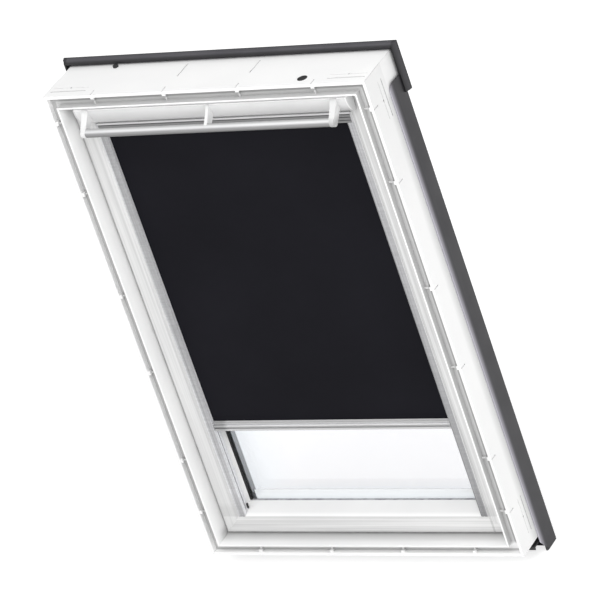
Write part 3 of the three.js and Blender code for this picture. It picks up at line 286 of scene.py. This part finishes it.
def reveal_share(surface, inset):
    """Painted shade: the reveal darkens towards the sash, most of all on the sill and the left
    jamb.
    """
    darkness = surface.highest(
        surface.fade(surface.z, SILL_DARKNESS), surface.fade(surface.x, LEFT_DARKNESS)
    )
    depth = surface.product(surface.fade(surface.y, REVEAL_DEPTH), darkness)
    return surface.weaken(surface.fade(inset, REVEAL_START), depth)


OUTER_SIDE = (0.0006, 0.0014, 1.0, 0.0)
TOWARDS_COVER = (0.020, 0.0483, 0.15, 0.47)
BELOW_HOOD = (1.095, 1.13, 1.0, 0.2)
TOWARDS_HEAD = (0.30, 1.13, 0.02, 0.24)
TOP_FACE = (1.1764, 1.1769, 1.0, 0.93)


def outer_share(surface, from_side):
    """Painted shade: outer side faces darken towards the side covers and the head; the head's top
    face slightly.
    """
    by_cover = surface.product(
        surface.fade(surface.y, TOWARDS_COVER), surface.fade(surface.z, BELOW_HOOD)
    )
    depth = surface.highest(by_cover, surface.fade(surface.z, TOWARDS_HEAD))
    side = surface.weaken(surface.fade(from_side, OUTER_SIDE), depth)
    return surface.product(side, surface.fade(surface.z, TOP_FACE))


# The outer faces lie lower behind a step, and fine marks are cut into them
STEP_IN_FACE = (0.045, 0.046, 0.0004, 0.0011)
BELOW_FACE = (0.0, 0.0002, 0.0, 1.0)
ABOVE_MARK_FLOOR = (0.0040, 0.0045, 1.0, 0.0)
BEHIND_FLANGE = (-0.0262, -0.0256, 0.0, 1.0)
MARK_DARKNESS = 0.32


def mark_share(surface, inset):
    """Painted shade: the floors of the fine marks cut into the outer faces are a little darker than
    the faces.
    """
    below = surface.minus(inset, surface.fade(surface.y, STEP_IN_FACE))
    cut = surface.product(
        surface.fade(below, BELOW_FACE),
        surface.fade(inset, ABOVE_MARK_FLOOR),
        surface.fade(surface.y, BEHIND_FLANGE),
    )
    return surface.weaken(cut, MARK_DARKNESS)


def frame_white(name):
    """Painted frame: its groove, its reveal and its outer faces hold a soft shade."""
    surface = coated(name, "white_frame")
    from_side = surface.minus(HALF_WIDTH, surface.size_of(surface.x))
    from_middle = surface.size_of(surface.minus(surface.z, HALF_HEIGHT))
    inset = surface.lowest(from_side, surface.minus(HALF_HEIGHT, from_middle))
    shares = surface.product(
        groove_share(surface, inset),
        reveal_share(surface, inset),
        outer_share(surface, from_side),
        mark_share(surface, inset),
    )
    surface.shade(shares)
    return surface


SASH_FRONT = (0.0075, 0.0115, 1.0, 0.0)
SASH_SPLAY_SHARE = 1.06
SASH_STREAK_SCALE = 150.0
SASH_STREAKS = (*NOISE_SPREAD, 0.61, 0.79)
SASH_LEFT_SIDE = (-0.345, 0.25, 0.93, 1.0)
SASH_FOOT = (0.079, 0.083, 1.07, 0.90)
SASH_ABOVE_FOOT = (0.103, 0.118, 0.0, 0.10)
BEAD_SPAN = (0.3145, 0.3192)
BEAD_SOFT = 0.0004
BEAD_DARKNESS = 0.24
# How the streaks' noise is squeezed along each axis: they run along the member
SASH_STRETCH = {"sash_stile": (1, 0.4, 0.012), "sash_rail": (0.012, 0.4, 1)}


def sash_white(name):
    """Painted sash: painted shade makes its front a touch darker than the frame, with faint streaks
    along each member.
    """
    surface = coated(name, "white_frame")
    streaks = surface.noise(SASH_STREAK_SCALE, NOISE_DETAIL, SASH_STRETCH[name])
    face = surface.product(
        surface.fade(streaks, SASH_STREAKS), surface.fade(surface.x, SASH_LEFT_SIDE)
    )
    on_front = surface.fade(surface.y, SASH_FRONT)
    lost = surface.product(on_front, surface.minus(1.0, face))
    # Painted light and shade by height: lighter at the very foot, a darker band just above it
    foot = surface.plus(
        surface.fade(surface.z, SASH_FOOT), surface.fade(surface.z, SASH_ABOVE_FOOT)
    )
    bead = surface.product(surface.band(surface.x, BEAD_SPAN, BEAD_SOFT), BEAD_DARKNESS)
    share = surface.minus(SASH_SPLAY_SHARE, lost)
    surface.shade(surface.product(share, surface.minus(foot, bead)))
    return surface


FLAP_BELLY = (1.098, 1.136, 0.72, 0.94)
FLAP_TOP = (1.1385, 1.1392, 0.0, 0.4)
FLAP_RIGHT_END = (0.288, 0.306, 1.0, 0.70)
FLAP_END_LIFT = (1.106, 1.122, 0.0, 0.22)
FLAP_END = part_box("vent_flap")[1].x
CAP_START = FLAP_END + 0.0002
CAP_SHARE = 1.1
LEFT_CAP_SHARE = 0.86


def flap_white(name):
    """Moulded flap with painted shade: its belly darkens downwards and its right end lies in shade.
    """
    surface = coated(name, "white_fitting")
    x, z = surface.x, surface.z
    # Painted light lifts the strip along the top and the end caps
    belly = surface.plus(surface.fade(z, FLAP_BELLY), surface.fade(z, FLAP_TOP))
    end = surface.plus(surface.fade(x, FLAP_RIGHT_END), surface.fade(z, FLAP_END_LIFT))
    right_cap = surface.fade(x, (FLAP_END, CAP_START, 0.0, CAP_SHARE))
    left_cap = surface.fade(x, (-CAP_START, -FLAP_END, LEFT_CAP_SHARE, CAP_SHARE))
    end = surface.highest(surface.lowest(1.0, end), right_cap)
    surface.shade(surface.product(belly, surface.lowest(end, left_cap)))
    return surface


RIGHT_BRACKET = (1.098, 1.112, 0.46, 0.78)
OTHER_BRACKETS = (0.25, 0.28, 0.88, 0.0)


def bracket_white(name):
    """Bar brackets: the right one lies in shade and darkens towards its foot."""
    surface = coated(name, "white_fitting")
    on_right = surface.fade(surface.z, RIGHT_BRACKET)
    surface.shade(surface.highest(on_right, surface.fade(surface.x, OTHER_BRACKETS)))
    return surface


# Stops are places along a stretch, from 0 to 1, each with the share of the colour there
COVER_FRONT = (0.0485, 0.0745, 0.0, 1.0)
COVER_STOPS = ((0.0, 0.72), (0.13, 0.40), (0.25, 0.31), (0.45, 0.094), (0.60, 0.045), (1.0, 0.038))


def cover_grey(name):
    """Coated side cover with a painted highlight along its rounded front edge, fading into dark
    grey.
    """
    surface = coated(name)
    surface.shade(surface.colour(surface.fade(surface.y, COVER_FRONT), COVER_STOPS))
    return surface


HOOD_DEPTH = (0.094, 0.111, 0.0, 1.0)
HOOD_STOPS = (
    (0.0, 0.30), (0.16, 0.42), (0.29, 0.72), (0.40, 1.0), (0.62, 1.0), (0.80, 0.92),
    (0.90, 0.34), (0.97, 0.34), (0.985, 0.80), (1.0, 0.80),
)
HOOD_SIDE = (0.3945, 0.3955, 1.0, 0.45)


def hood_grey(name):
    """Coated hood, painted light and shade: its folded front steps from a dark lip to a lighter
    band and a dark edge.
    """
    surface = coated(name)
    steps = surface.colour(surface.fade(surface.y, HOOD_DEPTH), HOOD_STOPS)
    # Painted shade: the hood's sides are darker than its front
    side = surface.fade(surface.size_of(surface.x), HOOD_SIDE)
    surface.shade(surface.product(steps, side))
    return surface


# The bar's stops run across its round, from below upwards and a little outwards
BAR_OUTWARD = 0.5455
BAR_UPWARD = 0.838
BAR_ROUND = (0.8844, 0.9030, 0.0, 1.0)
BAR_STOPS = (
    (0.0, 0.12), (0.22, 0.29), (0.34, 0.36), (0.55, 0.84), (0.67, 0.84), (0.85, 0.52),
    (1.0, 0.44),
)


def bar_silver(name):
    """Anodised control bar: a painted highlight above, and painted shade turns it a cool grey
    underneath.
    """
    surface = lined(name)
    across = surface.plus(
        surface.product(surface.z, BAR_UPWARD), surface.product(surface.y, BAR_OUTWARD)
    )
    surface.shade(surface.colour(surface.fade(across, BAR_ROUND), BAR_STOPS))
    return surface


CHANNEL_STREAK_SCALE = 420.0
CHANNEL_STREAK_STRETCH = (1, 0.4, 0.006)
CHANNEL_STREAKS = (*NOISE_SPREAD, 0.82, 1.05)
RIGHT_CHANNEL = (0.15, 1.0, 0.62, 0.82)
LEFT_CHANNEL = (0.12, 0.50, 0.86, 0.68)
LEFT_TO_RIGHT = (-0.1, 0.1, 0.0, 1.0)
CHANNEL_FOOT = (0.10, 0.15, 0.80, 1.0)
CHANNEL_INNER_SIDE = (0.2946, 0.2950, 2.0, 1.0)
LEFT_OUTER_EDGE = (-0.3092, -0.3074, 1.55, 1.0)
RIGHT_INNER_EDGE = (0.2940, 0.2964)
EDGE_SOFT = 0.0004
EDGE_DARKNESS = 0.42


def channel_silver(name):
    """Anodised side channels: painted shade darkens the front; painted light on the inner side and
    the outer edge.
    """
    surface = lined(name)
    x, z = surface.x, surface.z
    streaks = surface.noise(CHANNEL_STREAK_SCALE, 1.0, CHANNEL_STREAK_STRETCH)
    on_right = surface.fade(x, LEFT_TO_RIGHT)
    front = surface.plus(
        surface.product(surface.fade(z, RIGHT_CHANNEL), on_right),
        surface.product(surface.fade(z, LEFT_CHANNEL), surface.minus(1.0, on_right)),
    )
    dark_edge = surface.product(surface.band(x, RIGHT_INNER_EDGE, EDGE_SOFT), EDGE_DARKNESS)
    share = surface.product(
        surface.fade(streaks, CHANNEL_STREAKS),
        front,
        surface.fade(z, CHANNEL_FOOT),
        surface.fade(surface.size_of(x), CHANNEL_INNER_SIDE),
        surface.minus(surface.fade(x, LEFT_OUTER_EDGE), dark_edge),
    )
    surface.shade(share)
    return surface


CASING_STOPS = ((0.0, 0.28), (0.80, 0.28), (0.87, 0.85), (1.0, 0.85))


def casing_silver(name):
    """Blind casing: a painted highlight on its top edge, and painted shade darkens its grooved
    front.
    """
    surface = lined(name)
    low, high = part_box("blind_casing")
    upward = surface.fade(surface.z, (low.z, high.z, *WHOLE))
    surface.shade(surface.colour(upward, CASING_STOPS))
    return surface


RAIL_STOPS = (
    (0.0, 0.74), (0.08, 0.61), (0.34, 0.61), (0.38, 0.40), (0.56, 0.40), (0.60, 1.0),
    (0.78, 1.0), (0.82, 0.53),
)
RIB_DEPTH = 0.003
RIB_EDGE = 0.001
BEHIND_RIBS_SHARE = 0.95
RAIL_LEFT_END = (-0.270, -0.258, 0.66, 1.0)


def rail_silver(name):
    """The cloth's bottom bar: bands of light and shade between its ribs."""
    surface = lined(name)
    low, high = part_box("bottom_bar")
    ribs = low.y + RIB_DEPTH
    behind = surface.product(
        surface.fade(surface.y, (ribs, ribs + RIB_EDGE, *WHOLE)), BEHIND_RIBS_SHARE
    )
    bands = surface.colour(surface.fade(surface.z, (low.z, high.z, *WHOLE)), RAIL_STOPS)
    left_end = surface.fade(surface.x, RAIL_LEFT_END)
    surface.shade(surface.product(surface.highest(bands, behind), left_end))
    return surface


GASKET_FOOT = (0.0938, 0.0946, 22.0, 1.0)


def gasket_black(name):
    """Rubber round the glass; its foot is coloured a much lighter grey."""
    surface = coated(name, "black_rubber")
    surface.shade(surface.fade(surface.z, GASKET_FOOT))
    return surface


GLASS_IOR = 1.45
FILM_SCALE = 3.0
FILM_TINTS = ((0.940, 0.940, 0.950), (0.950, 0.950, 0.960))


def polished_glass(name):
    surface = Surface(name)
    surface.set(Roughness=0.0, Transmission_Weight=1.0, IOR=GLASS_IOR)
    return surface


def clear_glass(name):
    """Polished glass whose thin film makes its tint vary faintly."""
    surface = polished_glass(name)
    surface.feed("Base Color", surface.noise(FILM_SCALE, NOISE_DETAIL), *FILM_TINTS)
    return surface


EDGE_TINTS = ((0.945, 0.945, 0.955), (0.875, 0.91, 0.935))
GLASS_LEFTWARD = (-0.29, -0.16, 1.0, 0.0)
GLASS_DOWNWARD = (0.10, 0.14, 1.0, 0.0)
STRIP_LIGHT = (0.098, 0.116, 1.06, 0.93)
STRIP_TOP = (0.117, 0.119, 0.0, 1.0)
STRIP_LEFT_END = (-0.2830, -0.2820, 1.0, 0.0)
STRIP_BACK = (0.0578, 0.0588, 0.0, 1.0)


def edged_glass(name):
    """Inner pane: faintly blue towards its left and lower edges, with a white strip at its foot."""
    surface = polished_glass(name)
    near_edge = surface.highest(
        surface.fade(surface.x, GLASS_LEFTWARD), surface.fade(surface.z, GLASS_DOWNWARD)
    )
    surface.feed("Base Color", near_edge, *EDGE_TINTS, spread=WHOLE)
    above_strip = surface.fade(surface.z, STRIP_TOP)
    surface.shade(surface.highest(surface.fade(surface.z, STRIP_LIGHT), above_strip))
    beside_strip = surface.fade(surface.x, STRIP_LEFT_END)
    behind_strip = surface.fade(surface.y, STRIP_BACK)
    clear = surface.highest(surface.highest(above_strip, beside_strip), behind_strip)
    surface.tree.links.new(clear, surface.shader.inputs["Transmission Weight"])
    return surface


CLOTH_TINTS = ((0.0042, 0.0040, 0.0068), (0.0060, 0.0058, 0.0092))
CLOTH_PATCH_SCALE = 3.5
CLOTH_PATCH_DETAIL = 4.0
THREAD_SCALE = 1400.0
THREAD_HEIGHT = 0.00004
WARP = (1, 1, 0.05)
WEFT = (0.05, 1, 1)


def blackout(name):
    """Tightly woven, coated cloth: very dark navy with a fine weave and a soft sheen."""
    surface = Surface(name)
    surface.set(Roughness=0.88, Specular_IOR_Level=0.16)
    patches = surface.noise(CLOTH_PATCH_SCALE, CLOTH_PATCH_DETAIL)
    surface.feed("Base Color", patches, *CLOTH_TINTS)
    threads = [surface.noise(THREAD_SCALE, 1.0, stretch) for stretch in (WARP, WEFT)]
    surface.bump(surface.plus(*threads), THREAD_HEIGHT)
    return surface


PLAIN_FINISHES = ("black_rubber", "black_plastic", "grey_cover", "grey_seal", "grey_plastic")
MAKERS = {
    **dict.fromkeys(PLAIN_FINISHES, coated),
    "steel": lined,
    "silver": lined,
    "glass": clear_glass,
    "edged_glass": edged_glass,
    "blackout_cloth": blackout,
    "frame_white": frame_white,
    "sash_stile": sash_white,
    "sash_rail": sash_white,
    "flap_white": flap_white,
    "bracket_white": bracket_white,
    "side_cover": cover_grey,
    "hood": hood_grey,
    "bar_silver": bar_silver,
    "channel_silver": channel_silver,
    "rail_silver": rail_silver,
    "casing_silver": casing_silver,
    "gasket_black": gasket_black,
}
materials = {name: maker(name).material for name, maker in MAKERS.items()}

# Nodes whose finish differs from the plain one of their slot
SPECIAL = {
    "frame_head": "frame_white",
    "frame_sill": "frame_white",
    "frame_jamb_left": "frame_white",
    "frame_jamb_right": "frame_white",
    "sash_top_rail": "sash_rail",
    "sash_bottom_rail": "sash_rail",
    "sash_stile_left": "sash_stile",
    "sash_stile_right": "sash_stile",
    "vent_flap": "flap_white",
    "flap_cap_left": "flap_white",
    "flap_cap_right": "flap_white",
    "bar_bracket_left": "bracket_white",
    "bar_bracket_middle": "bracket_white",
    "bar_bracket_right": "bracket_white",
    "bar_glider_left": "black_plastic",
    "bar_glider_right": "black_plastic",
    "head_cover": "hood",
    "side_cover_left": "side_cover",
    "side_cover_right": "side_cover",
    "control_bar": "bar_silver",
    "side_channel_left": "channel_silver",
    "side_channel_right": "channel_silver",
    "pane_inner": "edged_glass",
    "bottom_bar": "rail_silver",
    "blind_casing": "casing_silver",
    "glazing_gasket_inner": "gasket_black",
    "weather_seal": "grey_seal",
}

slot_of = {row["node"]: row["material_slot"] for row in frame["record"]["subparts"]}


def smooth(obj):
    """Rounds read as round and edges stay crisp, without touching the mesh."""
    weld = obj.modifiers.new("weld", "WELD")
    weld.merge_threshold = WELD_DISTANCE
    split = obj.modifiers.new("split", "EDGE_SPLIT")
    split.split_angle = SPLIT_ANGLE
    split.use_edge_sharp = False
    for polygon in obj.data.polygons:
        polygon.use_smooth = True


for node_name, obj in NODES.items():
    obj.data.materials.clear()
    obj.data.materials.append(materials[SPECIAL.get(node_name, slot_of[node_name])])
    if "custom_normal" in obj.data.attributes:
        obj.data.attributes.remove(obj.data.attributes["custom_normal"])
    smooth(obj)


def add_mesh(name, corners, faces, material):
    mesh = bpy.data.meshes.new(name)
    mesh.from_pydata(corners, [], faces)
    mesh.materials.append(material)
    obj = bpy.data.objects.new(name, mesh)
    bpy.context.collection.objects.link(obj)
    return obj


def build_cloth():
    """The cloth is rebuilt as a flat box over the span of the blind's cloth part."""
    low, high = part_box("blind_cloth")
    corners = [
        (x, y, z)
        for z in (low.z, high.z)
        for x, y in ((low.x, low.y), (high.x, low.y), (high.x, high.y), (low.x, high.y))
    ]
    faces = [
        (3, 2, 1, 0),
        (4, 5, 6, 7),
        (0, 1, 5, 4),
        (1, 2, 6, 5),
        (2, 3, 7, 6),
        (3, 0, 4, 7),
    ]
    cloth = add_mesh("cloth", corners, faces, materials["blackout_cloth"])
    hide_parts("blind_cloth")
    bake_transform(cloth)


build_cloth()

FLOOR_HALF = 30.0
FLOOR_GAP = 0.0005
FLOOR_SCALE = 0.7
FLOOR_TINTS = ((0.50, 0.50, 0.50), (0.52, 0.52, 0.52))
FLOOR_GLOW = 0.74


def build_floor():
    """A plain pale floor that meets the pale surroundings without a horizon."""
    surface = Surface("floor")
    surface.feed("Base Color", surface.noise(FLOOR_SCALE, NOISE_DETAIL), *FLOOR_TINTS)
    surface.set(
        Roughness=0.9,
        Specular_IOR_Level=0.0,
        Emission_Color=(1, 1, 1, 1),
        Emission_Strength=FLOOR_GLOW,
    )
    height = cad_box[0].z - FLOOR_GAP
    corners = [
        (x * FLOOR_HALF, y * FLOOR_HALF, height)
        for x, y in ((-1, -1), (1, -1), (1, 1), (-1, 1))
    ]
    add_mesh("floor", corners, [(0, 1, 2, 3)], surface.material)


build_floor()

# The surroundings are brighter overhead than at the horizon
SKY_UPWARD = (0.0, 1.0, 0.36, 0.74)


def build_surroundings():
    world = bpy.data.worlds.new("studio")
    world.use_nodes = True
    tree = world.node_tree
    sky = tree.nodes["Background"]
    sky.inputs["Color"].default_value = (1, 1, 1, 1)
    direction = tree.nodes.new("ShaderNodeTexCoord").outputs["Generated"]
    axes = tree.nodes.new("ShaderNodeSeparateXYZ")
    tree.links.new(direction, axes.inputs["Vector"])
    strength = link_fade(tree, axes.outputs["Z"], SKY_UPWARD)
    tree.links.new(strength, sky.inputs["Strength"])
    bpy.context.scene.world = world


build_surroundings()

WINDOW_MIDDLE = Vector((0.0, 0.03, HALF_HEIGHT))
# Each lamp: its place, width in metres and power in watts
LAMPS = {
    "key": ((1.9, -3.2, 4.4), 3.0, 100.0),
    "top": ((0.2, -1.4, 4.4), 2.2, 48.0),
    "side": ((4.2, -0.8, 1.8), 2.6, 46.0),
}

for lamp_name, (place, width, power) in LAMPS.items():
    lamp = bpy.data.lights.new(lamp_name, "AREA")
    lamp.shape = "SQUARE"
    lamp.size = width
    lamp.energy = power
    light = bpy.data.objects.new(lamp_name, lamp)
    light.location = place
    aim = WINDOW_MIDDLE - Vector(place)
    light.rotation_euler = aim.to_track_quat("-Z", "Y").to_euler()
    bpy.context.collection.objects.link(light)

# The camera, solved from the frame's edges in the photograph
CAMERA_RIGHT = (0.8591, 0.4187, -0.2945)
CAMERA_UP = (0.0213, 0.5455, 0.8379)
CAMERA_BACK = (0.5114, -0.7261, 0.4596)
CAMERA_PLACE = (5.5750, -7.8552, 5.6147)
SENSOR_WIDTH = 36.0
LENS = 308.2
FARTHEST = 200.0

camera_data = bpy.data.cameras.new("camera")
camera_data.sensor_width = SENSOR_WIDTH
camera_data.lens = LENS
camera_data.clip_end = FARTHEST
camera = bpy.data.objects.new("camera", camera_data)
turn = Matrix((CAMERA_RIGHT, CAMERA_UP, CAMERA_BACK)).transposed().to_4x4()
camera.matrix_world = Matrix.Translation(CAMERA_PLACE) @ turn
bpy.context.collection.objects.link(camera)

scene = bpy.context.scene
scene.camera = camera
scene.view_settings.view_transform = "Standard"
scene.view_settings.look = "None"
